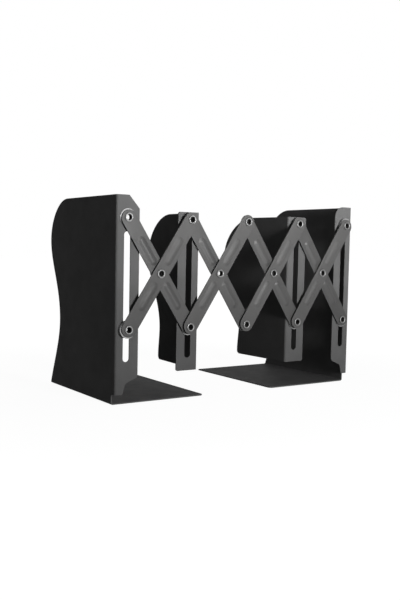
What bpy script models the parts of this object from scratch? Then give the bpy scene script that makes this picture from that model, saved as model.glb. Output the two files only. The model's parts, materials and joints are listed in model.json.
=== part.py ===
"""Extending desktop book rack: two L-shaped sheet-metal end plates joined by a riveted lazy-tongs
linkage, with two dividers hanging from it. Metres, +Z up, +X along the direction in which the rack
extends, front (the side of the linkage) towards -Y. The origin is the middle of the box, on the desk."""

import math

import bmesh
import bpy
from mathutils import Matrix, Vector

mm = 0.001

# Bars of the linkage. The pitch is the distance between a bar's end holes, and cells counts the crossings
bar_pitch = 120.6 * mm
bar_width = 15.4 * mm
bar_past_hole = 6.6 * mm
bar_gauge = 1.2 * mm
rib_width = 6.6 * mm
rib_height = 0.9 * mm
rib_to_end_hole = 21.0 * mm
rib_to_centre_hole = 10.0 * mm
cells = 4
rest_spacing = 66.0 * mm

# Tubular rivets, washers and spacers. A lip is what a rolled end covers outside the hole. The washers
# from which the dividers hang are smaller, and stay below the top of their flanges
shank_radius = 2.9 * mm
tube_wall = 0.4 * mm
head_lip = 0.9 * mm
head_thickness = 0.9 * mm
tail_lip = 0.9 * mm
tail_thickness = 0.8 * mm
washer_radius = 7.9 * mm
hanger_washer_radius = 6.4 * mm
washer_thickness = 0.6 * mm

# Clearances: between stacked faces, round a shank in a hole and in a slot, and between a washer and
# the bend of its sheet. The overrun is how far a cutter passes a face
face_gap = 0.3 * mm
shank_gap = 0.3 * mm
slot_gap = 0.3 * mm
washer_to_bend = 1.1 * mm
overrun = 1.0 * mm

# Folded sheets: one gauge, one bend radius and one flange for the end plates and the dividers
sheet_gauge = 1.2 * mm
bend_radius = 2.2 * mm
flange_past_pivot = 12.4 * mm

# The slot in each flange and what stands above the pivot. The slot runs on below the place that its
# rivet would have with the bars upright
slot_bottom = 39.5 * mm
slot_spare = 9.9 * mm
slot_below_pivot = 12.6 * mm
end_above_pivot = 20.0 * mm
divider_above_pivot = 7.0 * mm

# End plates. The depth runs from the face of the flange back to the bulge, and the recesses forward
# from there. Heights run up from the desk
end_depth = 143.5 * mm
bulge_height = 149.0 * mm
waist_recess = 23.5 * mm
waist_height = 68.0 * mm
heel_recess = 1.7 * mm
heel_lean = 7.0 * mm
end_top_run = 104.0 * mm
foot_length = 101.5 * mm
foot_recess = 6.8 * mm
foot_front_radius = 4.0 * mm
foot_back_radius = 2.0 * mm

# Flange corners of the end plates. Widths run from the outer face of the upright plate
chamfer_across = 10.6 * mm
chamfer_down = 12.0 * mm
chamfer_blend = 1.2 * mm
round_corner = 11.0 * mm
flange_bottom = 25.0 * mm
flange_bottom_radius = 5.0 * mm
step_width = 10.7 * mm
step_height = 19.5 * mm
step_radius = 3.0 * mm
tab_width = 8.2 * mm
tab_bottom = 9.7 * mm
tab_radius = 1.0 * mm

# Dividers. Their fold stands open by a few degrees, so that they splay from square
divider_bottom = 27.4 * mm
divider_depth = 104.0 * mm
divider_bulge_height = 134.0 * mm
divider_waist_recess = 28.5 * mm
divider_waist_height = 60.0 * mm
divider_heel_recess = 26.2 * mm
divider_top_run = 56.0 * mm
divider_heel_radius = 4.0 * mm
divider_corner_radius = 2.0 * mm
divider_fold_open = math.radians(3.2)

# The flat crest of a rib, as a share of one step of its arch
rib_crest_share = 0.5

# How far the ease of the wavy back edge reaches, as shares of each rise or run between its points
heel_pull_share = 0.32
waist_pull_share = 0.42
bulge_pull_share = 0.30
crown_pull_share = 0.52

# Points closer than this are one point
merge_reach = 0.01 * mm

# Facets of round shapes, and the angles between faces that count as sharp and as flat
turn_facets = 16
end_facets = 12
corner_facets = 6
wave_facets = 14
bend_facets = 8
rib_facets = 6
rib_steps = 3
head_facets = 4
tail_facets = 3
sharp_angle = math.radians(35)
flat_angle = math.radians(0.5)

# Sizes that follow from what a piece fits
rib_radius = (rib_width**2 / 4 + rib_height**2) / (2 * rib_height)
bore_radius = shank_radius - tube_wall
hole_radius = shank_radius + shank_gap
head_radius = hole_radius + head_lip
tail_radius = hole_radius + tail_lip
slot_width = 2 * (shank_radius + slot_gap)
pivot_inset = bend_radius + washer_to_bend + washer_radius
flange_width = pivot_inset + flange_past_pivot
pivot_height = slot_bottom + slot_spare + bar_pitch
slot_top = pivot_height - slot_below_pivot
end_height = pivot_height + end_above_pivot
divider_top = pivot_height + divider_above_pivot
heel_depth = end_depth - heel_recess
divider_heel_depth = divider_depth - divider_heel_recess

# Layers of the linkage, as distances in front of the face of the flanges. The ribs of every bar face the
# front, so those of the back bars keep the front bars off
washer_back = face_gap
washer_front = washer_back + washer_thickness
back_bar_middle = washer_front + face_gap + bar_gauge / 2
back_bar_front = back_bar_middle + bar_gauge / 2
back_bar_crest = back_bar_front + rib_height
front_bar_middle = back_bar_crest + face_gap + bar_gauge / 2
front_bar_front = front_bar_middle + bar_gauge / 2
one_bar_seat = back_bar_front + face_gap
two_bar_seat = front_bar_front + face_gap
free_tail_seat = back_bar_middle - bar_gauge / 2 - face_gap
flange_tail_seat = -sheet_gauge - face_gap
slide_washer_back = flange_tail_seat - washer_thickness
slot_tail_seat = slide_washer_back - face_gap

# Places of the linkage at rest
front_reach = two_bar_seat + head_thickness
flange_y = (front_reach - end_depth) / 2
rest_angle = math.asin(rest_spacing / bar_pitch)
rest_rise = bar_pitch * math.cos(rest_angle)
slide_height = pivot_height - rest_rise
centre_height = pivot_height - rest_rise / 2

# Stations count the pivots along the rack. The first and last carry the end plates, and their
# neighbours the dividers
last_station = cells + 1
divider_stations = (2, cells)


def station_x(station):
    """The place along the rack of a pivot."""
    return (station - 1 - cells / 2) * rest_spacing


def crossing_x(cell):
    """The place along the rack of the crossing between a pivot and the next."""
    return station_x(cell) + rest_spacing / 2


def clear_scene():
    for old in list(bpy.data.objects):
        bpy.data.objects.remove(old, do_unlink=True)
    rack = bpy.data.collections.new("book_rack")
    bpy.context.scene.collection.children.link(rack)
    return rack


def material(name, colour, roughness, metallic):
    made = bpy.data.materials.new(name)
    made.use_nodes = True
    shader = made.node_tree.nodes["Principled BSDF"]
    shader.inputs["Base Color"].default_value = (*colour, 1.0)
    shader.inputs["Roughness"].default_value = roughness
    shader.inputs["Metallic"].default_value = metallic
    return made


def plate_black():
    return material("plate_black", (0.075, 0.075, 0.077), 0.55, 0.0)


def divider_black():
    return material("divider_black", (0.070, 0.070, 0.072), 0.55, 0.0)


def bar_grey():
    return material("bar_grey", (0.13, 0.13, 0.135), 0.45, 0.6)


def rivet_steel():
    return material("rivet_steel", (0.32, 0.32, 0.33), 0.35, 1.0)


def washer_steel():
    return material("washer_steel", (0.62, 0.62, 0.63), 0.3, 1.0)


# Outlines in the plane


def fillet(before, corner, after, radius):
    """The arc that rounds a corner between two straight edges."""
    back = (before - corner).normalized()
    ahead = (after - corner).normalized()
    half = back.angle(ahead) / 2
    reach = radius / math.tan(half)
    centre = corner + (back + ahead).normalized() * radius / math.sin(half)
    start = corner + back * reach - centre
    end = corner + ahead * reach - centre
    turn = start.angle_signed(end)
    points = []
    for step in range(corner_facets + 1):
        spoke = start.copy()
        spoke.rotate(Matrix.Rotation(-turn * step / corner_facets, 2))
        points.append(centre + spoke)
    return points


def rounded(corners):
    """A closed outline from (across, up, radius) corners; radius 0 leaves a corner sharp."""
    places = [Vector(corner[:2]) for corner in corners]
    outline = []
    for index, corner in enumerate(corners):
        if corner[2] == 0:
            outline.append(places[index])
            continue
        after = places[(index + 1) % len(corners)]
        outline += fillet(places[index - 1], places[index], after, corner[2])
    return outline


def bezier(start, start_handle, end_handle, end):
    """Points along one cubic stretch, without its last point."""
    points = []
    for step in range(wave_facets):
        t = step / wave_facets
        points.append(
            start * (1 - t) ** 3
            + start_handle * 3 * t * (1 - t) ** 2
            + end_handle * 3 * t**2 * (1 - t)
            + end * t**3
        )
    return points


def back_edge(heel, heel_slope, waist, bulge, crown):
    """The wavy back edge of an upright plate, from its heel up to the start of its straight top."""
    rise = Vector((0, waist.y - heel.y))
    wave = Vector((0, bulge.y - waist.y))
    head = Vector((0, crown.y - bulge.y))
    run = Vector((bulge.x - crown.x, 0))
    edge = bezier(heel, heel + rise * heel_pull_share - heel_slope, waist - rise * heel_pull_share, waist)
    edge += bezier(waist, waist + wave * waist_pull_share, bulge - wave * bulge_pull_share, bulge)
    edge += bezier(bulge, bulge + head * crown_pull_share, crown + run * crown_pull_share, crown)
    return [(point.x, point.y, 0) for point in edge]


def circle(centre_x, centre_y, radius):
    points = []
    for step in range(turn_facets):
        angle = 2 * math.pi * step / turn_facets
        points.append(Vector((centre_x + radius * math.cos(angle), centre_y + radius * math.sin(angle))))
    return points


def stadium(centre_x, low, high, width, facets):
    """An upright slot shape with round ends."""
    radius = width / 2
    points = []
    for middle, first in ((high - radius, 0), (low + radius, math.pi)):
        for step in range(facets + 1):
            angle = first + math.pi * step / facets
            points.append(Vector((centre_x + radius * math.cos(angle), middle + radius * math.sin(angle))))
    return points


# Solids from outlines


def flat_sheet(name, outlines, gauge):
    """A mesh of one flat sheet: the first outline is its edge and the others are its holes."""
    curve = bpy.data.curves.new(name, "CURVE")
    curve.dimensions = "2D"
    curve.fill_mode = "BOTH"
    curve.extrude = gauge / 2
    for outline in outlines:
        spline = curve.splines.new("POLY")
        spline.points.add(len(outline) - 1)
        for point, place in zip(spline.points, outline):
            point.co = (place.x, place.y, 0, 1)
        spline.use_cyclic_u = True
    carrier = bpy.data.objects.new(name, curve)
    bpy.context.scene.collection.objects.link(carrier)
    graph = bpy.context.evaluated_depsgraph_get()
    mesh = bpy.data.meshes.new_from_object(carrier.evaluated_get(graph))
    bpy.data.objects.remove(carrier)
    shape = bmesh.new()
    shape.from_mesh(mesh)
    bmesh.ops.remove_doubles(shape, verts=shape.verts, dist=merge_reach)
    merge_flat_faces(shape)
    return mesh, shape


def merge_flat_faces(shape):
    """Joins the faces of each flat stretch, and drops the points that its edges no longer need."""
    bmesh.ops.dissolve_limit(
        shape, angle_limit=flat_angle, verts=shape.verts, edges=shape.edges, delimit=set()
    )


def close_mesh(mesh, shape):
    """Writes the edited shape back to its mesh, faces out, shaded smooth between its sharp edges."""
    if shape.calc_volume(signed=True) < 0:
        bmesh.ops.reverse_faces(shape, faces=shape.faces)
    shape.to_mesh(mesh)
    shape.free()
    mesh.shade_smooth()
    mesh.set_sharp_from_angle(angle=sharp_angle)
    return mesh


def fold(along, depth, turn):
    """Folds a sheet at a corner. along is the distance past the corner on the outer face, depth the
    distance under that face. Gives the place as (out along the first panel, along the second's side)."""
    tangent = bend_radius * math.tan(turn / 2)
    if along <= -tangent:
        return -along, depth
    if along >= tangent:
        return (
            -along * math.cos(turn) + depth * math.sin(turn),
            along * math.sin(turn) + depth * math.cos(turn),
        )
    angle = turn * (along + tangent) / (2 * tangent)
    inner = bend_radius - depth
    return tangent - inner * math.sin(angle), bend_radius - inner * math.cos(angle)


def score(shape, direction, turn):
    """Adds the edges across a flat sheet along which it bends."""
    tangent = bend_radius * math.tan(turn / 2)
    for step in range(bend_facets + 1):
        place = direction * (2 * step / bend_facets - 1) * tangent
        geometry = shape.verts[:] + shape.edges[:] + shape.faces[:]
        bmesh.ops.bisect_plane(shape, geom=geometry, plane_co=place, plane_no=direction, dist=merge_reach)


def folded_sheet(name, outline, side, turn, has_foot):
    """Folds a blank into an upright plate with its flange, and its foot if it has one. Across the
    blank, the flange lies at negative values and the plate at positive ones; up the blank, the foot
    lies below zero. side is 1 where the plate is at the left of its flange, and -1 at its right."""
    slot = stadium(-pivot_inset, slot_bottom, slot_top, slot_width, end_facets)
    hole = circle(-pivot_inset, pivot_height, hole_radius)
    mesh, blank = flat_sheet(name, [outline, slot, hole], sheet_gauge)
    score(blank, Vector((1, 0, 0)), turn)
    if has_foot:
        score(blank, Vector((0, 1, 0)), turn)
    for vertex in blank.verts:
        across, up, level = vertex.co
        depth = sheet_gauge / 2 - level
        if has_foot and up < bend_radius:
            height, inward = fold(-up, depth, turn)
            back = across
        else:
            inward, back = fold(across, depth, turn)
            height = up
        vertex.co = (side * (inward - pivot_inset), back, height - pivot_height)
    return close_mesh(mesh, blank)


def end_plate_mesh(name, side, top_corner):
    back = back_edge(
        Vector((heel_depth, 0)),
        Vector((heel_lean, 0)),
        Vector((end_depth - waist_recess, waist_height)),
        Vector((end_depth, bulge_height)),
        Vector((end_top_run, end_height)),
    )
    flange_step = [
        (-flange_width, flange_bottom, flange_bottom_radius),
        (-step_width, step_height, step_radius),
        (-tab_width, tab_bottom, tab_radius),
        (foot_recess, tab_bottom, 0),
    ]
    foot = [
        (foot_recess, -foot_length, foot_front_radius),
        (heel_depth, -foot_length, foot_back_radius),
    ]
    crown = [(end_top_run, end_height, 0)]
    outline = rounded(back + crown + top_corner + flange_step + foot)
    return folded_sheet(name, outline, side, math.pi / 2, True)


def divider_mesh(name, side):
    heel_middle = divider_bottom + divider_heel_radius
    back = back_edge(
        Vector((divider_heel_depth, heel_middle)),
        Vector((0, 0)),
        Vector((divider_depth - divider_waist_recess, divider_waist_height)),
        Vector((divider_depth, divider_bulge_height)),
        Vector((divider_top_run, divider_top)),
    )
    corners = [
        (divider_top_run, divider_top, 0),
        (-flange_width, divider_top, divider_corner_radius),
        (-flange_width, divider_bottom, divider_corner_radius),
        (divider_heel_depth, divider_bottom, divider_heel_radius),
    ]
    outline = rounded(back[1:] + corners)
    return folded_sheet(name, outline, side, math.pi / 2 - divider_fold_open, False)


# Bars


def rib_solid(name, centre, radius, crest, foot):
    """A pressed rib, or the hollow behind it: a long mound with round ends and an arched section. The
    arch has the given radius up to its crest, and its lowest facet runs on down to the foot."""
    spread = math.acos(1 - rib_height / radius)
    section = []
    for step in range(rib_steps + 1):
        angle = spread * (1 - step / (rib_steps + rib_crest_share))
        section.append((radius * math.sin(angle), crest - radius + radius * math.cos(angle)))
    (edge, level), (next_edge, next_level) = section[:2]
    run_on = (level - foot) / (next_level - level)
    section[0] = (edge + (edge - next_edge) * run_on, foot)

    straight = bar_pitch / 2 - rib_to_end_hole - rib_to_centre_hole - rib_width
    shape = bmesh.new()
    rings = []
    for half_width, height in section:
        reach = straight / 2 + half_width
        outline = stadium(0, centre - reach, centre + reach, 2 * half_width, rib_facets)
        rings.append([shape.verts.new((place.x, place.y, height)) for place in outline])
    for lower, upper in zip(rings, rings[1:]):
        for index in range(len(lower)):
            shape.faces.new((lower[index - 1], lower[index], upper[index], upper[index - 1]))
    shape.faces.new(rings[-1])
    shape.faces.new(rings[0][::-1])
    return close_mesh(bpy.data.meshes.new(name), shape)


def bar_mesh(name):
    """A bar that stands along Z with its centre hole at the origin. Its ribs stand out towards -Y."""
    half = bar_pitch / 2
    reach = half + bar_past_hole
    outline = stadium(0, -reach, reach, bar_width, end_facets)
    holes = [circle(0, place, hole_radius) for place in (-half, 0, half)]
    mesh, shape = flat_sheet(name, [outline] + holes, bar_gauge)
    strip = bpy.data.objects.new(name, close_mesh(mesh, shape))
    bpy.context.scene.collection.objects.link(strip)
    face = bar_gauge / 2
    crest = face + rib_height
    rib_centre = (half - rib_to_end_hole + rib_to_centre_hole) / 2
    tools = []
    for end in (-1, 1):
        centre = end * rib_centre
        ridge = rib_solid(name + "_ridge", centre, rib_radius, crest, 0)
        hollow_radius = rib_radius - bar_gauge
        hollow = rib_solid(name + "_hollow", centre, hollow_radius, crest - bar_gauge, -face - overrun)
        for tool_mesh, operation in ((ridge, "UNION"), (hollow, "DIFFERENCE")):
            tool = bpy.data.objects.new(tool_mesh.name, tool_mesh)
            bpy.context.scene.collection.objects.link(tool)
            cut = strip.modifiers.new(operation, "BOOLEAN")
            cut.operation = operation
            cut.solver = "EXACT"
            cut.object = tool
            tools.append(tool)
    graph = bpy.context.evaluated_depsgraph_get()
    pressed = bpy.data.meshes.new_from_object(strip.evaluated_get(graph))
    pressed.name = name
    for helper in tools + [strip]:
        bpy.data.objects.remove(helper)
    pressed.transform(Matrix.Rotation(math.pi / 2, 4, "X"))
    shape = bmesh.new()
    shape.from_mesh(pressed)
    merge_flat_faces(shape)
    return close_mesh(pressed, shape)


# Turned pieces, with their axis along Z until they are laid towards the front


def turned(name, profile, rack, finish):
    """A ring turned from a closed profile of (radius, forward) points that runs down its outer side."""
    mesh = bpy.data.meshes.new(name)
    shape = bmesh.new()
    rim = [shape.verts.new((radius, 0, forward)) for radius, forward in profile]
    for index, vertex in enumerate(rim):
        shape.edges.new((vertex, rim[(index + 1) % len(rim)]))
    shape.to_mesh(mesh)
    shape.free()
    piece = bpy.data.objects.new(name, mesh)
    rack.objects.link(piece)
    screw = piece.modifiers.new("turn", "SCREW")
    screw.axis = "Z"
    screw.steps = turn_facets
    screw.render_steps = turn_facets
    screw.use_merge_vertices = True
    screw.merge_threshold = merge_reach
    screw.use_smooth_shade = True
    piece.rotation_euler = (math.pi / 2, 0, 0)
    piece.data.materials.append(finish)
    return piece


def rolled_rim(radius, thickness, seat, facets, first, last):
    """The rolled rim of a rivet in section: half an ellipse from the bore to its outer edge or back."""
    middle = (radius + bore_radius) / 2
    half_width = (radius - bore_radius) / 2
    points = []
    for step in range(facets + 1):
        angle = first + (last - first) * step / facets
        points.append((middle + half_width * math.cos(angle), seat + thickness * math.sin(angle)))
    return points


def rivet(name, head_seat, tail_seat, rack, finish):
    profile = rolled_rim(head_radius, head_thickness, head_seat, head_facets, math.pi, 0)
    profile += [(shank_radius, head_seat), (shank_radius, tail_seat)]
    profile += rolled_rim(tail_radius, tail_thickness, tail_seat, tail_facets, 2 * math.pi, math.pi)
    return turned(name, profile, rack, finish)


def washer(name, radius, back, front, rack, finish):
    profile = [(hole_radius, front), (radius, front), (radius, back), (hole_radius, back)]
    return turned(name, profile, rack, finish)


# The assembly: each body is an empty on its joint's axis, with its pieces as children


def pivot(name, parent, x, z, rack):
    """An empty on a joint's axis, at the face of the flanges."""
    empty = bpy.data.objects.new(name, None)
    rack.objects.link(empty)
    empty.empty_display_size = head_radius
    empty["rest_place"] = (x, flange_y, z)
    origin = Vector(parent["rest_place"]) if parent else Vector((0, 0, 0))
    empty.parent = parent
    empty.location = Vector((x, flange_y, z)) - origin
    return empty


def seat(piece, carrier, x, z, forward=0.0):
    """Hangs a piece on the empty that carries it, at a place given along the rack and up."""
    piece.parent = carrier
    piece.location = Vector((x, flange_y - forward, z)) - Vector(carrier["rest_place"])


def sheet_piece(name, mesh, carrier, x, rack, finish):
    piece = bpy.data.objects.new(name, mesh)
    piece.data.materials.append(finish)
    rack.objects.link(piece)
    seat(piece, carrier, x, pivot_height)


def bar_piece(name, mesh, carrier, cell, lean, forward, rack):
    piece = bpy.data.objects.new(name, mesh)
    rack.objects.link(piece)
    piece.rotation_euler = (0, lean * rest_angle, 0)
    seat(piece, carrier, crossing_x(cell), centre_height, forward)


def bars_of_linkage(root, rack):
    """The crossed bars of every cell. Gives the empties of the back bars and of the front bars."""
    mesh = bar_mesh("bar")
    mesh.materials.append(bar_grey())
    back_pivots = []
    front_pivots = []
    carrier = root
    for cell in range(1, last_station):
        back_pivot = pivot(f"back_bar_{cell}_pivot", carrier, station_x(cell), pivot_height, rack)
        front_pivot = pivot(f"front_bar_{cell}_pivot", back_pivot, crossing_x(cell), centre_height, rack)
        bar_piece(f"back_bar_{cell}", mesh, back_pivot, cell, -1, back_bar_middle, rack)
        bar_piece(f"front_bar_{cell}", mesh, front_pivot, cell, 1, front_bar_middle, rack)
        back_pivots.append(back_pivot)
        front_pivots.append(front_pivot)
        carrier = front_pivot
    return back_pivots, front_pivots


def station_hardware(station, top_carrier, low_carrier, rack, rivet_finish, washer_finish):
    """The two rivets of a station, with the washers that they hold where it has a flange."""
    x = station_x(station)
    is_first = station == 1
    is_last = station == last_station
    on_flange = is_first or is_last or station in divider_stations
    top_head = one_bar_seat if is_first else two_bar_seat
    low_head = one_bar_seat if is_last else two_bar_seat
    top_tail = flange_tail_seat if on_flange else free_tail_seat
    low_tail = slot_tail_seat if on_flange else free_tail_seat
    top = rivet(f"top_rivet_{station}", top_head, top_tail, rack, rivet_finish)
    low = rivet(f"bottom_rivet_{station}", low_head, low_tail, rack, rivet_finish)
    seat(top, top_carrier, x, pivot_height)
    seat(low, low_carrier, x, slide_height)
    if not on_flange:
        return
    top_name = f"top_spacer_{station}" if is_last else f"top_washer_{station}"
    low_name = f"bottom_spacer_{station}" if is_first else f"bottom_washer_{station}"
    top_front = back_bar_crest if is_last else washer_front
    low_front = back_bar_crest if is_first else washer_front
    top_radius = hanger_washer_radius if station in divider_stations else washer_radius
    top_ring = washer(top_name, top_radius, washer_back, top_front, rack, washer_finish)
    low_ring = washer(low_name, washer_radius, washer_back, low_front, rack, washer_finish)
    slide_name = f"slide_washer_{station}"
    slide = washer(slide_name, washer_radius, slide_washer_back, flange_tail_seat, rack, washer_finish)
    seat(top_ring, top_carrier, x, pivot_height)
    seat(low_ring, low_carrier, x, slide_height)
    seat(slide, low_carrier, x, slide_height)


def end_plates(root, right_end, rack):
    """The two ends are mirror twins but for the top corner of the flange: chamfered and rounded."""
    finish = plate_black()
    chamfered = [
        (-flange_width + chamfer_across, end_height, chamfer_blend),
        (-flange_width, end_height - chamfer_down, chamfer_blend),
    ]
    softened = [(-flange_width, end_height, round_corner)]
    left = end_plate_mesh("left_end_plate", 1, chamfered)
    right = end_plate_mesh("right_end_plate", -1, softened)
    sheet_piece("left_end_plate", left, root, station_x(1), rack, finish)
    sheet_piece("right_end_plate", right, right_end, station_x(last_station), rack, finish)


def dividers(carriers, rack):
    finish = divider_black()
    sides = (("left_divider", -1), ("right_divider", 1))
    for (name, side), station, carrier in zip(sides, divider_stations, carriers):
        x = station_x(station)
        hanger = pivot(f"{name}_pivot", carrier, x, pivot_height, rack)
        sheet_piece(name, divider_mesh(name, side), hanger, x, rack, finish)


def build():
    rack = clear_scene()
    root = pivot("left_end_pivot", None, station_x(1), pivot_height, rack)
    back_pivots, front_pivots = bars_of_linkage(root, rack)

    # The upper rivet of each station turns with the front bar that ends there, the lower with the back bar
    top_carriers = [root] + front_pivots
    low_carriers = [front_pivots[0]] + back_pivots
    right_end = pivot("right_end_pivot", front_pivots[-1], station_x(last_station), pivot_height, rack)
    end_plates(root, right_end, rack)
    dividers([top_carriers[station - 1] for station in divider_stations], rack)

    rivet_finish = rivet_steel()
    washer_finish = washer_steel()
    for station in range(1, last_station + 1):
        top_carrier = top_carriers[station - 1]
        low_carrier = low_carriers[station - 1]
        station_hardware(station, top_carrier, low_carrier, rack, rivet_finish, washer_finish)
    for cell in range(1, last_station):
        crossing = rivet(f"centre_rivet_{cell}", two_bar_seat, free_tail_seat, rack, rivet_finish)
        seat(crossing, back_pivots[cell - 1], crossing_x(cell), centre_height)


build()
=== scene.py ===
"""Looks of the extending desktop book rack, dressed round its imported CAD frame. Metres, +Z up, front
towards -Y. Every piece is built as the CAD node that it stands for, with finer curves and eased edges."""

import json
import math

import bmesh
import bpy
from mathutils import Matrix, Vector


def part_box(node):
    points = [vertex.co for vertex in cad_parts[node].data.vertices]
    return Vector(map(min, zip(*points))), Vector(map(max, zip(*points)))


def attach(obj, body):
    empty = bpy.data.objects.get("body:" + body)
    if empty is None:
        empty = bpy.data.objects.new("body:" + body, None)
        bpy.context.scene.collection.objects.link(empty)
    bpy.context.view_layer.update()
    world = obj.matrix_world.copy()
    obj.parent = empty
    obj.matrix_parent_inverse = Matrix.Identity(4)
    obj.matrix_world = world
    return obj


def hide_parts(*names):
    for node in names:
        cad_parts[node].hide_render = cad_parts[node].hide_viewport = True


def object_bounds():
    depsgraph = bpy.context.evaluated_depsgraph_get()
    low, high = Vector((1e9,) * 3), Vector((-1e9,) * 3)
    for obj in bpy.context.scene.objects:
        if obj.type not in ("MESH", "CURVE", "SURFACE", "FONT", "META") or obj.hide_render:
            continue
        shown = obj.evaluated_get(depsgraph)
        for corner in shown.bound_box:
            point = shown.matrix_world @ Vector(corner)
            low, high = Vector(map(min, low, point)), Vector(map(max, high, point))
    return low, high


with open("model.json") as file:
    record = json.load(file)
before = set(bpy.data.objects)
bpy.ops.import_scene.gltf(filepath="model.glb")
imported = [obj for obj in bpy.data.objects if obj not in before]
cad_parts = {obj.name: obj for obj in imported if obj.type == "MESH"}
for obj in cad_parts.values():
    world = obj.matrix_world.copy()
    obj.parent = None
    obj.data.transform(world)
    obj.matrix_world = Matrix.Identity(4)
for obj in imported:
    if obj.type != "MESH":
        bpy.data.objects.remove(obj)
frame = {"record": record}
cad_low, cad_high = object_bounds()

mm = 0.001

# Camera of the photograph: its place, the turns that aim it in radians, and its lens in millimetres
camera_place = Vector((-0.47612, -0.69802, 0.14562))
camera_yaw = 0.5925
camera_pitch = 0.0678
camera_roll = 0.0194
camera_lens = 71.68
sensor_width = 36.0

# Light: two lamps in front, one wide and one with a narrow beam that is aimed over the rack and so
# lights its top the most, and a low fill all round
wide_place = Vector((0.05, -0.90, 0.14))
wide_aim = Vector((0.0, -0.05, 0.10))
wide_power = 5.4
wide_beam = math.radians(180)
high_place = Vector((0.05, -0.90, 0.26))
high_aim = Vector((0.05, -0.05, 0.38))
high_power = 1.8
high_beam = math.radians(50)
lamp_side = 0.20
ambient_level = 0.205

# Floor: how strongly it glows near the rack and far away, where the one passes into the other, and
# its own grey, on which the shadow falls
floor_near_glow = 0.95
floor_far_glow = 1.0
floor_glow_from = 0.15
floor_glow_to = 0.60
floor_tint = 0.10
floor_drop = 0.2 * mm
floor_half_side = 6.0
full_white = (1.0, 1.0, 1.0, 1.0)

# Bars
bar_pitch = 120.6 * mm
bar_width = 15.4 * mm
bar_past_hole = 6.6 * mm
bar_gauge = 1.2 * mm
rib_width = 6.6 * mm
rib_height = 0.9 * mm
rib_to_end_hole = 21.0 * mm
rib_to_centre_hole = 10.0 * mm
rest_spacing = 66.0 * mm

# Rivets and holes
shank_radius = 2.9 * mm
tube_wall = 0.4 * mm
head_lip = 0.9 * mm
head_thickness = 0.9 * mm
tail_lip = 0.9 * mm
tail_thickness = 0.8 * mm
shank_gap = 0.3 * mm
slot_gap = 0.3 * mm
washer_radius = 7.9 * mm
washer_to_bend = 1.1 * mm

# Folded sheets
sheet_gauge = 1.2 * mm
bend_radius = 2.2 * mm
flange_past_pivot = 12.4 * mm
slot_bottom = 39.5 * mm
slot_spare = 9.9 * mm
slot_below_pivot = 12.6 * mm
end_above_pivot = 20.0 * mm
divider_above_pivot = 7.0 * mm

# End plates
end_depth = 143.5 * mm
bulge_height = 149.0 * mm
waist_recess = 23.5 * mm
waist_height = 68.0 * mm
heel_recess = 1.7 * mm
heel_lean = 7.0 * mm
end_top_run = 104.0 * mm
foot_length = 101.5 * mm
foot_recess = 6.8 * mm
foot_front_radius = 4.0 * mm
foot_back_radius = 2.0 * mm
chamfer_across = 10.6 * mm
chamfer_down = 12.0 * mm
chamfer_blend = 1.2 * mm
round_corner = 11.0 * mm
flange_bottom = 25.0 * mm
flange_bottom_radius = 5.0 * mm
step_width = 10.7 * mm
step_height = 19.5 * mm
step_radius = 3.0 * mm
tab_width = 8.2 * mm
tab_bottom = 9.7 * mm
tab_radius = 1.0 * mm

# Dividers
divider_bottom = 27.4 * mm
divider_depth = 104.0 * mm
divider_bulge_height = 134.0 * mm
divider_waist_recess = 28.5 * mm
divider_waist_height = 60.0 * mm
divider_heel_recess = 26.2 * mm
divider_top_run = 56.0 * mm
divider_heel_radius = 4.0 * mm
divider_corner_radius = 2.0 * mm
divider_fold_open = math.radians(3.2)

# How far the ease of the wavy back edge reaches, as shares of each rise or run between its points
heel_pull_share = 0.32
waist_pull_share = 0.42
bulge_pull_share = 0.30
crown_pull_share = 0.52

# Eased edges of cut metal, and the distance under which points are one
sheet_ease = 0.22 * mm
bar_ease = 0.25 * mm
washer_ease = 0.12 * mm
merge_reach = 0.004 * mm

# The soft toe of a rib: its width, how far out from the arch it bends and how high it is there, as
# shares of its width, and the stretch of the arch that it takes, in toe widths
rib_toe = 0.9 * mm
toe_bend_share = 0.3
toe_rise_share = 0.06
toe_arch_share = 2.0

# Facets of round shapes, half of a rib's flat crest in steps of its arch, and the angle between faces
# that counts as sharp
turn_facets = 56
end_facets = 28
corner_facets = 14
wave_facets = 36
bend_facets = 14
rib_facets = 14
rib_steps = 8
rib_crest_steps = 0.4
ease_steps = 2
rim_steps = 14
sharp_angle = math.radians(40)
flat_face_weight = 100

# Coats of the sheets and bars: the share of light that they give back, how rough and how bright their
# sheen is, and how deep their grain
plate_level = 0.088
divider_level = 0.078
sheet_warmth = 0.0
sheet_roughness = 0.60
sheet_sheen = 0.01
sheet_grain_depth = 0.030 * mm
# The bars share one paint, given as two copies that paint light and shade: a lighter one with less sheen
# on the front bars, and a darker, glossier one on the back bars, so the ribs of each slant shade
# differently
front_bar_lit_level = 0.051
front_bar_roughness = 0.50
front_bar_sheen = 0.17
back_bar_shaded_level = 0.037
back_bar_roughness = 0.46
back_bar_sheen = 0.24
bar_warmth = 0.01
bar_grain_depth = 0.022 * mm

# How much darker or lighter than its level a coat is in clouds, flecks and on edges, which are lightened
# partly as wear and partly as a painted highlight; how widely and how strongly edges are lightened, how
# much its roughness varies, and its share of coarse grain
cloud_dark = 0.93
cloud_light = 1.07
fleck_light = 1.6
fleck_share = 0.35
rub_highlight_light = 2.6
rub_highlight_reach = 0.5 * mm
rub_highlight_shares = (0.1, 0.5)
rub_highlight_samples = 6
gloss_swing = 0.05
coarse_grain_share = 0.8

# Steel of the rivets, washers and spacers, and the inside of a rivet, painted near black as shade, with
# faint dust
rivet_level = 0.17
rivet_roughness = 0.48
washer_level = 0.19
washer_roughness = 0.58
spacer_level = 0.21
spacer_roughness = 0.62
smear_dark = 0.85
smear_light = 1.1
steel_gloss_less = 0.08
steel_gloss_more = 0.1
steel_mark_depth = 0.012 * mm
bore_shade_level = 0.010
bore_dust_level = 0.03
bore_dust_warmth = 0.05
bore_roughness = (0.6, 0.8)
bore_sheen = 0.1
bore_grain_depth = 0.02 * mm

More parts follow.
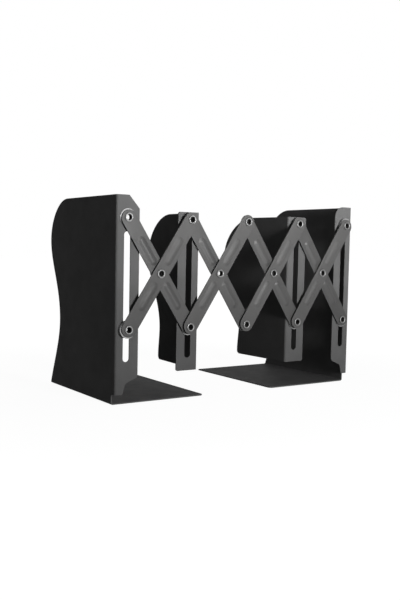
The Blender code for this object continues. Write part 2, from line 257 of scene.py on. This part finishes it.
# Noise in the finishes: grains to the metre, and how many finer layers lie over them
cloud_noise = (38.0, 3.0)
fleck_noise = (1500.0, 1.0)
coat_gloss_noise = (90.0, 2.0)
fine_grain_noise = (1300.0, 2.0)
coarse_grain_noise = (520.0, 1.0)
smear_noise = (240.0, 2.0)
steel_gloss_noise = (700.0, 2.0)
steel_mark_noise = (2600.0, 2.0)
bore_dust_noise = (600.0, 2.0)
bore_gloss_noise = (900.0, 1.0)
bore_grain_noise = (1500.0, 2.0)

# The stretch of each noise that runs from none to all of its effect. For edges it is a stretch of how
# well the surface agrees with its rounded self
cloud_span = (0.35, 0.65)
fleck_span = (0.60, 0.80)
rub_highlight_span = (0.4, 0.7)
edge_span = (0.97, 0.80)
smear_span = (0.35, 0.7)
gloss_span = (0.3, 0.7)
whole = (0.0, 1.0)

# Sizes that follow from what a piece fits
rib_arch_radius = (rib_width**2 / 4 + rib_height**2) / (2 * rib_height)
bore_radius = shank_radius - tube_wall
hole_radius = shank_radius + shank_gap
head_radius = hole_radius + head_lip
tail_radius = hole_radius + tail_lip
slot_width = 2 * (shank_radius + slot_gap)
pivot_inset = bend_radius + washer_to_bend + washer_radius
flange_width = pivot_inset + flange_past_pivot
pivot_height = slot_bottom + slot_spare + bar_pitch
slot_top = pivot_height - slot_below_pivot
end_height = pivot_height + end_above_pivot
divider_top = pivot_height + divider_above_pivot
heel_depth = end_depth - heel_recess
divider_heel_depth = divider_depth - divider_heel_recess
rest_angle = math.asin(rest_spacing / bar_pitch)


# Materials


class Nodes:
    """A short way to write a material's nodes."""

    def __init__(self, name):
        self.material = bpy.data.materials.new(name)
        self.material.use_nodes = True
        self.tree = self.material.node_tree
        self.shader = self.tree.nodes["Principled BSDF"]

    def add(self, kind, **settings):
        node = self.tree.nodes.new(kind)
        for key, value in settings.items():
            if key in node.inputs:
                self.put(value, node.inputs[key])
            else:
                setattr(node, key, value)
        return node

    def put(self, value, socket):
        if isinstance(value, bpy.types.NodeSocket):
            self.tree.links.new(value, socket)
        else:
            socket.default_value = value

    def place(self):
        return self.add("ShaderNodeTexCoord").outputs["Object"]

    def noise(self, scale, detail):
        node = self.add("ShaderNodeTexNoise", Scale=scale, Detail=detail)
        self.put(self.place(), node.inputs["Vector"])
        return node.outputs["Fac"]

    def spread(self, value, span, result):
        """Spreads the span of a value over the span of a result, and holds it at the ends."""
        node = self.add("ShaderNodeMapRange", clamp=True)
        for index, part in enumerate((value, *span, *result)):
            self.put(part, node.inputs[index])
        return node.outputs["Result"]

    def math(self, operation, first, second):
        node = self.add("ShaderNodeMath", operation=operation)
        self.put(first, node.inputs[0])
        self.put(second, node.inputs[1])
        return node.outputs["Value"]

    def blend(self, share, first, second):
        """A mix of two colours, whose sockets on this node are known by number."""
        node = self.add("ShaderNodeMix", data_type="RGBA")
        self.put(share, node.inputs["Factor"])
        self.put(first, node.inputs[6])
        self.put(second, node.inputs[7])
        return node.outputs[2]

    def edge(self):
        """A mask of the places close to an outer edge or corner."""
        rounded_off = self.add("ShaderNodeBevel", samples=rub_highlight_samples, Radius=rub_highlight_reach)
        plain = self.add("ShaderNodeNewGeometry")
        dot = self.add("ShaderNodeVectorMath", operation="DOT_PRODUCT")
        self.put(rounded_off.outputs["Normal"], dot.inputs[0])
        self.put(plain.outputs["Normal"], dot.inputs[1])
        return self.spread(dot.outputs["Value"], edge_span, whole)

    def bump(self, height, distance):
        node = self.add("ShaderNodeBump", Distance=distance)
        self.put(height, node.inputs["Height"])
        return node.outputs["Normal"]

    def finish(self, **inputs):
        for key, value in inputs.items():
            self.put(value, self.shader.inputs[key.replace("_", " ")])
        return self.material


def grey(level, warmth=0.0):
    """A grey, a little warm or cool."""
    return (level * (1 + warmth), level, level * (1 - warmth), 1.0)


def coat(name, level, warmth, roughness, sheen, grain_depth):
    """A baked coat on sheet metal: fine grain, faint clouding, edges lightened as wear and painted
    highlight.
    """
    made = Nodes(name)
    cloud = made.noise(*cloud_noise)
    fleck = made.noise(*fleck_noise)
    dark = grey(level * cloud_dark, warmth)
    light = grey(level * cloud_light, warmth)
    clouded = made.blend(made.spread(cloud, cloud_span, whole), dark, light)
    fleck_mask = made.spread(fleck, fleck_span, (0.0, fleck_share))
    flecked = made.blend(fleck_mask, clouded, grey(level * fleck_light, warmth))
    # Edges lightened partly as wear and partly as a painted highlight of edges that catch the light
    rubbed_and_highlit = made.math("MULTIPLY", made.edge(), made.spread(cloud, rub_highlight_span, rub_highlight_shares))
    colour = made.blend(rubbed_and_highlit, flecked, grey(level * rub_highlight_light, warmth))
    gloss = (roughness - gloss_swing, roughness + gloss_swing)
    rough = made.spread(made.noise(*coat_gloss_noise), gloss_span, gloss)
    fine = made.noise(*fine_grain_noise)
    coarse = made.math("MULTIPLY", made.noise(*coarse_grain_noise), coarse_grain_share)
    grain = made.math("ADD", fine, coarse)
    return made.finish(
        Base_Color=colour,
        Roughness=rough,
        Specular_IOR_Level=sheen,
        Normal=made.bump(grain, grain_depth),
    )


def steel(name, level, roughness):
    """Plated steel: dull smears, and fine marks from rolling and handling."""
    made = Nodes(name)
    smear = made.spread(made.noise(*smear_noise), smear_span, whole)
    gloss = (roughness - steel_gloss_less, roughness + steel_gloss_more)
    return made.finish(
        Base_Color=made.blend(smear, grey(level * smear_dark), grey(level * smear_light)),
        Roughness=made.spread(made.noise(*steel_gloss_noise), gloss_span, gloss),
        Metallic=1.0,
        Normal=made.bump(made.noise(*steel_mark_noise), steel_mark_depth),
    )


def shaded_bore(name):
    """The inside of a tube rivet: near black as painted shade, with faint dust."""
    made = Nodes(name)
    dust = grey(bore_dust_level, bore_dust_warmth)
    # Near black as painted shade in the bore, mixed with faint dust
    return made.finish(
        Base_Color=made.blend(made.noise(*bore_dust_noise), grey(bore_shade_level), dust),
        Roughness=made.spread(made.noise(*bore_gloss_noise), gloss_span, bore_roughness),
        Specular_IOR_Level=bore_sheen,
        Normal=made.bump(made.noise(*bore_grain_noise), bore_grain_depth),
    )


# Outlines in the plane


def fillet(before, corner, after, radius):
    """The arc that rounds a corner between two straight edges."""
    back = (before - corner).normalized()
    ahead = (after - corner).normalized()
    half = back.angle(ahead) / 2
    reach = radius / math.tan(half)
    centre = corner + (back + ahead).normalized() * radius / math.sin(half)
    start = corner + back * reach - centre
    end = corner + ahead * reach - centre
    turn = start.angle_signed(end)
    points = []
    for step in range(corner_facets + 1):
        spoke = start.copy()
        spoke.rotate(Matrix.Rotation(-turn * step / corner_facets, 2))
        points.append(centre + spoke)
    return points


def rounded(corners):
    """A closed outline from (across, up, radius) corners; radius 0 leaves a corner sharp."""
    places = [Vector(corner[:2]) for corner in corners]
    outline = []
    for index, corner in enumerate(corners):
        if corner[2] == 0:
            outline.append(places[index])
            continue
        after = places[(index + 1) % len(corners)]
        outline += fillet(places[index - 1], places[index], after, corner[2])
    return outline


def bezier(start, start_handle, end_handle, end):
    """Points along one cubic stretch, without its last point."""
    points = []
    for step in range(wave_facets):
        t = step / wave_facets
        points.append(
            start * (1 - t) ** 3
            + start_handle * 3 * t * (1 - t) ** 2
            + end_handle * 3 * t**2 * (1 - t)
            + end * t**3
        )
    return points


def back_edge(heel, heel_slope, waist, bulge, crown):
    """The wavy back edge of an upright plate, from its heel up to the start of its straight top."""
    rise = Vector((0, waist.y - heel.y))
    wave = Vector((0, bulge.y - waist.y))
    head = Vector((0, crown.y - bulge.y))
    run = Vector((bulge.x - crown.x, 0))
    heel_pull = rise * heel_pull_share
    edge = bezier(heel, heel + heel_pull - heel_slope, waist - heel_pull, waist)
    edge += bezier(waist, waist + wave * waist_pull_share, bulge - wave * bulge_pull_share, bulge)
    edge += bezier(bulge, bulge + head * crown_pull_share, crown + run * crown_pull_share, crown)
    return [(point.x, point.y, 0) for point in edge]


def circle(centre_x, centre_y, radius):
    """A closed round outline."""
    points = []
    for step in range(turn_facets):
        angle = 2 * math.pi * step / turn_facets
        points.append(Vector((centre_x + radius * math.cos(angle), centre_y + radius * math.sin(angle))))
    return points


def stadium(centre_x, low, high, width, facets):
    """An upright slot shape with round ends."""
    radius = width / 2
    points = []
    for middle, first in ((high - radius, 0), (low + radius, math.pi)):
        for step in range(facets + 1):
            angle = first + math.pi * step / facets
            points.append(Vector((centre_x + radius * math.cos(angle), middle + radius * math.sin(angle))))
    return points


# Pieces


def dressed(name, shape, materials):
    """A piece from an edited mesh, faces out and smooth between its sharp edges."""
    if shape.calc_volume(signed=True) < 0:
        bmesh.ops.reverse_faces(shape, faces=shape.faces)
    mesh = bpy.data.meshes.new(name)
    shape.to_mesh(mesh)
    shape.free()
    mesh.shade_smooth()
    mesh.set_sharp_from_angle(angle=sharp_angle)
    for made in materials:
        mesh.materials.append(made)
    piece = bpy.data.objects.new(name, mesh)
    bpy.context.scene.collection.objects.link(piece)
    normals = piece.modifiers.new("flat faces stay flat", "WEIGHTED_NORMAL")
    normals.keep_sharp = True
    normals.weight = flat_face_weight
    return piece


def settle(piece, node):
    """Moves the mesh of a piece so that its lowest corner is the lowest corner of its node."""
    low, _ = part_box(node)
    corner = Vector([min(vertex.co[axis] for vertex in piece.data.vertices) for axis in range(3)])
    piece.data.transform(Matrix.Translation(low - corner))


def eased(half, ease):
    """The rim of a sheet in section, from its front face to its back: (inset, height) points."""
    front = []
    for step in range(ease_steps + 1):
        angle = math.pi / 2 * step / ease_steps
        front.append((ease * (1 - math.sin(angle)), half - ease * (1 - math.cos(angle))))
    return front + [(inset, -height) for inset, height in reversed(front)]


def loft(shape, rings):
    """Skins a run of closed rings that have the same number of points. Gives the first and last."""
    rows = [[shape.verts.new(point) for point in ring] for ring in rings]
    for lower, upper in zip(rows, rows[1:]):
        for index in range(len(lower)):
            shape.faces.new((lower[index - 1], lower[index], upper[index], upper[index - 1]))
    return rows[0], rows[-1]


def ring_edges(shape, ring):
    """The edges along a closed ring of points."""
    return [shape.edges.get((ring[index - 1], ring[index])) for index in range(len(ring))]


def close_faces(shape, loops):
    """Fills the front and the back between rims, each of which is its first and last ring."""
    for side in (0, 1):
        edges = [edge for loop in loops for edge in ring_edges(shape, loop[side])]
        bmesh.ops.triangle_fill(shape, use_beauty=True, use_dissolve=False, edges=edges)
    bmesh.ops.recalc_face_normals(shape, faces=shape.faces)


def rib_section(radius, level):
    """The arched section of a rib from its soft toe up to its crest: (half width, height) points."""
    spread = math.acos(1 - rib_height / radius)
    foot = radius * math.sin(spread)
    arch = spread - min(spread, toe_arch_share * rib_toe / radius)
    section = [(foot + rib_toe, level)]
    section.append((foot + rib_toe * toe_bend_share, level + rib_toe * toe_rise_share))
    for step in range(rib_steps):
        angle = arch * (1 - step / (rib_steps - 1 + rib_crest_steps))
        section.append((radius * math.sin(angle), level + rib_height - radius * (1 - math.cos(angle))))
    return section


def rib_rings(centre, section):
    """The rings of one rib, from its toe up to its crest."""
    straight = bar_pitch / 2 - rib_to_end_hole - rib_to_centre_hole - rib_width
    rings = []
    for half_width, height in section:
        reach = straight / 2 + half_width
        outline = stadium(0, centre - reach, centre + reach, 2 * half_width, rib_facets)
        rings.append([(point.x, point.y, height) for point in outline])
    return rings


def bar(name, lean, finish):
    """A bar with eased edges, three bores and two pressed ribs, hollow behind."""
    half = bar_pitch / 2
    face = bar_gauge / 2
    shape = bmesh.new()
    rim = eased(face, bar_ease)
    outer = []
    for inset, height in rim:
        reach = half + bar_past_hole - inset
        outline = stadium(0, -reach, reach, bar_width - 2 * inset, end_facets)
        outer.append([(point.x, point.y, height) for point in outline])
    loops = [loft(shape, outer)]
    for place in (-half, 0, half):
        bore = []
        for inset, height in rim:
            bore.append([(point.x, point.y, height) for point in circle(0, place, hole_radius + inset)])
        loops.append(loft(shape, bore))
    rib_centre = (half - rib_to_end_hole + rib_to_centre_hole) / 2
    for end in (-1, 1):
        ridge = rib_section(rib_arch_radius, face)
        hollow = rib_section(rib_arch_radius - bar_gauge, -face)
        ridge_foot, ridge_top = loft(shape, rib_rings(end * rib_centre, ridge))
        hollow_foot, hollow_top = loft(shape, rib_rings(end * rib_centre, hollow))
        shape.faces.new(ridge_top)
        shape.faces.new(hollow_top)
        loops.append((ridge_foot, hollow_foot))
    close_faces(shape, loops)
    upright = Matrix.Rotation(lean * rest_angle, 4, "Y") @ Matrix.Rotation(math.pi / 2, 4, "X")
    bmesh.ops.transform(shape, matrix=upright, verts=shape.verts)
    return dressed(name, shape, [finish])


def turned(name, profile, materials):
    """A ring turned about Y from a closed profile of (radius, forward) points. The faces between its
    last point and its first take the last material, the others the first."""
    shape = bmesh.new()
    rows = []
    for radius, forward in profile:
        ring = circle(0, 0, radius)
        rows.append([shape.verts.new((point.x, -forward, point.y)) for point in ring])
    for step, upper in enumerate(rows):
        lower = rows[step - 1]
        for index in range(turn_facets):
            corners = (lower[index - 1], lower[index], upper[index], upper[index - 1])
            face = shape.faces.new(corners)
            if step == 0:
                face.material_index = len(materials) - 1
    bmesh.ops.recalc_face_normals(shape, faces=shape.faces)
    return dressed(name, shape, materials)


def rolled_rim(radius, thickness, seat, first, last):
    """The rolled rim of a rivet in section: half an ellipse from the bore to its outer edge or back."""
    middle = (radius + bore_radius) / 2
    half_width = (radius - bore_radius) / 2
    points = []
    for step in range(rim_steps + 1):
        angle = first + (last - first) * step / rim_steps
        points.append((middle + half_width * math.cos(angle), seat + thickness * math.sin(angle)))
    return points


def rivet(name, length, finish, bore_shade_finish):
    """A tube rivet with both ends rolled over, as long as its node."""
    tail_seat = tail_thickness
    head_seat = length - head_thickness
    profile = rolled_rim(head_radius, head_thickness, head_seat, math.pi, 0)
    profile += [(shank_radius, head_seat), (shank_radius, tail_seat)]
    profile += rolled_rim(tail_radius, tail_thickness, tail_seat, 2 * math.pi, math.pi)
    return turned(name, profile, [finish, bore_shade_finish])


def washer(name, radius, thickness, finish):
    """A flat ring with eased edges."""
    profile = [(hole_radius + inset, height) for inset, height in eased(thickness / 2, washer_ease)]
    outer = [(radius - inset, height) for inset, height in eased(thickness / 2, washer_ease)]
    return turned(name, profile + outer[::-1], [finish])


def moved_in(outline, distance):
    """An outline moved towards its inside, corner by corner; a negative distance widens it."""
    area = sum(outline[index - 1].cross(point) for index, point in enumerate(outline))
    reach = distance if area > 0 else -distance
    points = []
    for index, corner in enumerate(outline):
        before = (corner - outline[index - 1]).normalized()
        after = (outline[(index + 1) % len(outline)] - corner).normalized()
        across = Vector((-before.y - after.y, before.x + after.x))
        points.append(corner + across * reach / (1 + before.dot(after)))
    return points


def flat_sheet(outlines):
    """The blank of a folded sheet, with eased edges: the first outline is its edge, the others holes."""
    shape = bmesh.new()
    loops = []
    for number, outline in enumerate(outlines):
        inward = 1 if number == 0 else -1
        apart = [p for index, p in enumerate(outline) if (p - outline[index - 1]).length > merge_reach]
        rings = []
        for inset, height in eased(sheet_gauge / 2, sheet_ease):
            rings.append([(point.x, point.y, height) for point in moved_in(apart, inward * inset)])
        loops.append(loft(shape, rings))
    close_faces(shape, loops)
    return shape


def fold(along, depth, turn):
    """Folds a sheet at a corner. along is the distance past the corner on the outer face, depth the
    distance under that face. Gives the distance from the corner along the first panel, and the distance
    under that panel's outer face."""
    tangent = bend_radius * math.tan(turn / 2)
    if along <= -tangent:
        return -along, depth
    if along >= tangent:
        return (
            -along * math.cos(turn) + depth * math.sin(turn),
            along * math.sin(turn) + depth * math.cos(turn),
        )
    angle = turn * (along + tangent) / (2 * tangent)
    inner = bend_radius - depth
    return tangent - inner * math.sin(angle), bend_radius - inner * math.cos(angle)


def score(shape, direction, turn):
    """Adds the edges across a flat sheet along which it bends, square to a direction."""
    tangent = bend_radius * math.tan(turn / 2)
    for step in range(bend_facets + 1):
        place = direction * (2 * step / bend_facets - 1) * tangent
        geometry = shape.verts[:] + shape.edges[:] + shape.faces[:]
        bmesh.ops.bisect_plane(shape, geom=geometry, plane_co=place, plane_no=direction, dist=merge_reach)


def folded_sheet(name, outline, side, turn, has_foot, finish):
    """Folds a blank into an upright plate with its flange, and its foot if it has one. side is 1 where
    the plate is at the left of its flange, and -1 at its right."""
    slot = stadium(-pivot_inset, slot_bottom, slot_top, slot_width, end_facets)
    hole = circle(-pivot_inset, pivot_height, hole_radius)
    blank = flat_sheet([outline, slot, hole])
    score(blank, Vector((1, 0, 0)), turn)
    if has_foot:
        score(blank, Vector((0, 1, 0)), turn)
    for vertex in blank.verts:
        across, up, level = vertex.co
        depth = sheet_gauge / 2 - level
        if has_foot and up < bend_radius:
            height, inward = fold(-up, depth, turn)
            back = across
        else:
            inward, back = fold(across, depth, turn)
            height = up
        vertex.co = (side * (inward - pivot_inset), back, height - pivot_height)
    return dressed(name, blank, [finish])


def end_plate(name, side, top_corner, finish):
    """An upright plate with a slotted flange in front and a foot along its bottom."""
    back = back_edge(
        Vector((heel_depth, 0)),
        Vector((heel_lean, 0)),
        Vector((end_depth - waist_recess, waist_height)),
        Vector((end_depth, bulge_height)),
        Vector((end_top_run, end_height)),
    )
    flange_step = [
        (-flange_width, flange_bottom, flange_bottom_radius),
        (-step_width, step_height, step_radius),
        (-tab_width, tab_bottom, tab_radius),
        (foot_recess, tab_bottom, 0),
    ]
    foot = [
        (foot_recess, -foot_length, foot_front_radius),
        (heel_depth, -foot_length, foot_back_radius),
    ]
    crown = [(end_top_run, end_height, 0)]
    outline = rounded(back + crown + top_corner + flange_step + foot)
    return folded_sheet(name, outline, side, math.pi / 2, True, finish)


def divider(name, side, finish):
    """A smaller upright plate with a slotted flange in front."""
    heel_middle = divider_bottom + divider_heel_radius
    back = back_edge(
        Vector((divider_heel_depth, heel_middle)),
        Vector((0, 0)),
        Vector((divider_depth - divider_waist_recess, divider_waist_height)),
        Vector((divider_depth, divider_bulge_height)),
        Vector((divider_top_run, divider_top)),
    )
    corners = [
        (divider_top_run, divider_top, 0),
        (-flange_width, divider_top, divider_corner_radius),
        (-flange_width, divider_bottom, divider_corner_radius),
        (divider_heel_depth, divider_bottom, divider_heel_radius),
    ]
    outline = rounded(back[1:] + corners)
    return folded_sheet(name, outline, side, math.pi / 2 - divider_fold_open, False, finish)


def make_pieces():
    """Builds each piece in the place of its node, on the body that carries the node."""
    plate_coat = coat(
        "plate_coat", plate_level, sheet_warmth, sheet_roughness, sheet_sheen, sheet_grain_depth
    )
    divider_coat = coat(
        "divider_coat", divider_level, sheet_warmth, sheet_roughness, sheet_sheen, sheet_grain_depth
    )
    # A lighter and a darker copy of one bar paint, as painted light and shade
    front_lit_coat = coat(
        "front_bar_lit_coat", front_bar_lit_level, bar_warmth, front_bar_roughness, front_bar_sheen, bar_grain_depth
    )
    back_shaded_coat = coat(
        "back_bar_shaded_coat", back_bar_shaded_level, bar_warmth, back_bar_roughness, back_bar_sheen, bar_grain_depth
    )
    rivet_steel = steel("rivet_steel", rivet_level, rivet_roughness)
    washer_steel = steel("washer_steel", washer_level, washer_roughness)
    spacer_steel = steel("spacer_steel", spacer_level, spacer_roughness)
    bore_shade = shaded_bore("rivet_bore")
    chamfered = [
        (-flange_width + chamfer_across, end_height, chamfer_blend),
        (-flange_width, end_height - chamfer_down, chamfer_blend),
    ]
    softened = [(-flange_width, end_height, round_corner)]
    slots = {part["node"]: part["material_slot"] for part in frame["record"]["subparts"]}
    for body, nodes in frame["record"]["behaviour"]["bodies"].items():
        for node in nodes:
            name = node + "_dressed"
            low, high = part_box(node)
            kind = slots[node]
            if node == "left_end_plate":
                piece = end_plate(name, 1, chamfered, plate_coat)
            elif node == "right_end_plate":
                piece = end_plate(name, -1, softened, plate_coat)
            elif kind == "divider":
                piece = divider(name, -1 if node == "left_divider" else 1, divider_coat)
            elif kind == "front_bar":
                piece = bar(name, 1, front_lit_coat)
            elif kind == "back_bar":
                piece = bar(name, -1, back_shaded_coat)
            elif kind == "rivet":
                piece = rivet(name, high.y - low.y, rivet_steel, bore_shade)
            else:
                finish = spacer_steel if "spacer" in node else washer_steel
                piece = washer(name, (high.x - low.x) / 2, high.y - low.y, finish)
            settle(piece, node)
            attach(piece, body)
            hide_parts(node)


# Stage: world, floor, lamps and camera


def seen_rays(nodes, links):
    """A value of 1 for camera, glossy and transmission rays, 0 for the light that the object gets."""
    path = nodes.new("ShaderNodeLightPath")
    total = path.outputs["Is Camera Ray"]
    for ray in ("Is Glossy Ray", "Is Transmission Ray"):
        add = nodes.new("ShaderNodeMath")
        add.operation = "ADD"
        add.use_clamp = True
        links.new(total, add.inputs[0])
        links.new(path.outputs[ray], add.inputs[1])
        total = add.outputs[0]
    return total


def make_world():
    """White to what looks at it, and a low even fill for the object."""
    world = bpy.data.worlds.new("studio")
    world.use_nodes = True
    nodes = world.node_tree.nodes
    links = world.node_tree.links
    nodes.clear()
    seen = seen_rays(nodes, links)
    fill = nodes.new("ShaderNodeBackground")
    fill.inputs["Strength"].default_value = ambient_level
    white = nodes.new("ShaderNodeBackground")
    for background in (fill, white):
        background.inputs["Color"].default_value = full_white
    mix = nodes.new("ShaderNodeMixShader")
    links.new(seen, mix.inputs["Fac"])
    links.new(fill.outputs[0], mix.inputs[1])
    links.new(white.outputs[0], mix.inputs[2])
    output = nodes.new("ShaderNodeOutputWorld")
    links.new(mix.outputs[0], output.inputs["Surface"])
    bpy.context.scene.world = world


def floor_white():
    """White to what looks at it, growing whiter with distance, and a grey that takes the shadow."""
    made = bpy.data.materials.new("floor_white")
    made.use_nodes = True
    nodes = made.node_tree.nodes
    links = made.node_tree.links
    nodes.clear()
    glow = nodes.new("ShaderNodeEmission")
    glow.inputs["Color"].default_value = full_white
    where = nodes.new("ShaderNodeTexCoord")
    away = nodes.new("ShaderNodeVectorMath")
    away.operation = "LENGTH"
    links.new(where.outputs["Object"], away.inputs[0])
    ramp = nodes.new("ShaderNodeMapRange")
    ramp.interpolation_type = "SMOOTHSTEP"
    links.new(away.outputs["Value"], ramp.inputs["Value"])
    ramp.inputs["From Min"].default_value = floor_glow_from
    ramp.inputs["From Max"].default_value = floor_glow_to
    ramp.inputs["To Min"].default_value = floor_near_glow
    ramp.inputs["To Max"].default_value = floor_far_glow
    strength = nodes.new("ShaderNodeMath")
    strength.operation = "MULTIPLY"
    links.new(seen_rays(nodes, links), strength.inputs[0])
    links.new(ramp.outputs["Result"], strength.inputs[1])
    links.new(strength.outputs[0], glow.inputs["Strength"])
    matt = nodes.new("ShaderNodeBsdfDiffuse")
    matt.inputs["Color"].default_value = (floor_tint, floor_tint, floor_tint, 1)
    add = nodes.new("ShaderNodeAddShader")
    links.new(glow.outputs[0], add.inputs[0])
    links.new(matt.outputs[0], add.inputs[1])
    output = nodes.new("ShaderNodeOutputMaterial")
    links.new(add.outputs[0], output.inputs["Surface"])
    return made


def make_floor():
    """A white floor just under the feet."""
    shape = bmesh.new()
    level = cad_low.z - floor_drop
    corners = []
    for x, y in ((-1, -1), (1, -1), (1, 1), (-1, 1)):
        corners.append(shape.verts.new((x * floor_half_side, y * floor_half_side, level)))
    shape.faces.new(corners)
    mesh = bpy.data.meshes.new("floor")
    shape.to_mesh(mesh)
    shape.free()
    mesh.materials.append(floor_white())
    floor = bpy.data.objects.new("floor", mesh)
    bpy.context.scene.collection.objects.link(floor)


def make_lamp(name, place, aim, power, beam):
    """A square lamp, unseen, aimed at a place with a beam of some width."""
    light = bpy.data.lights.new(name, "AREA")
    light.shape = "SQUARE"
    light.size = lamp_side
    light.energy = power
    light.spread = beam
    lamp = bpy.data.objects.new(name, light)
    lamp.location = place
    lamp.rotation_euler = (aim - place).to_track_quat("-Z", "Y").to_euler()
    lamp.visible_camera = False
    bpy.context.scene.collection.objects.link(lamp)


def make_camera():
    """The camera of the photograph."""
    lens = bpy.data.cameras.new("camera")
    lens.sensor_fit = "HORIZONTAL"
    lens.sensor_width = sensor_width
    lens.lens = camera_lens
    camera = bpy.data.objects.new("camera", lens)
    ahead = Vector(
        (
            math.sin(camera_yaw) * math.cos(camera_pitch),
            math.cos(camera_yaw) * math.cos(camera_pitch),
            -math.sin(camera_pitch),
        )
    )
    level = Vector((math.cos(camera_yaw), -math.sin(camera_yaw), 0))
    up = level.cross(ahead)
    right = level * math.cos(camera_roll) + up * math.sin(camera_roll)
    above = up * math.cos(camera_roll) - level * math.sin(camera_roll)
    turn = Matrix((right, above, -ahead)).transposed().to_4x4()
    camera.matrix_world = Matrix.Translation(camera_place) @ turn
    bpy.context.scene.collection.objects.link(camera)
    bpy.context.scene.camera = camera


make_camera()
make_world()
make_floor()
make_lamp("wide", wide_place, wide_aim, wide_power, wide_beam)
make_lamp("high", high_place, high_aim, high_power, high_beam)
make_pieces()
bpy.context.scene.view_settings.view_transform = "Standard"
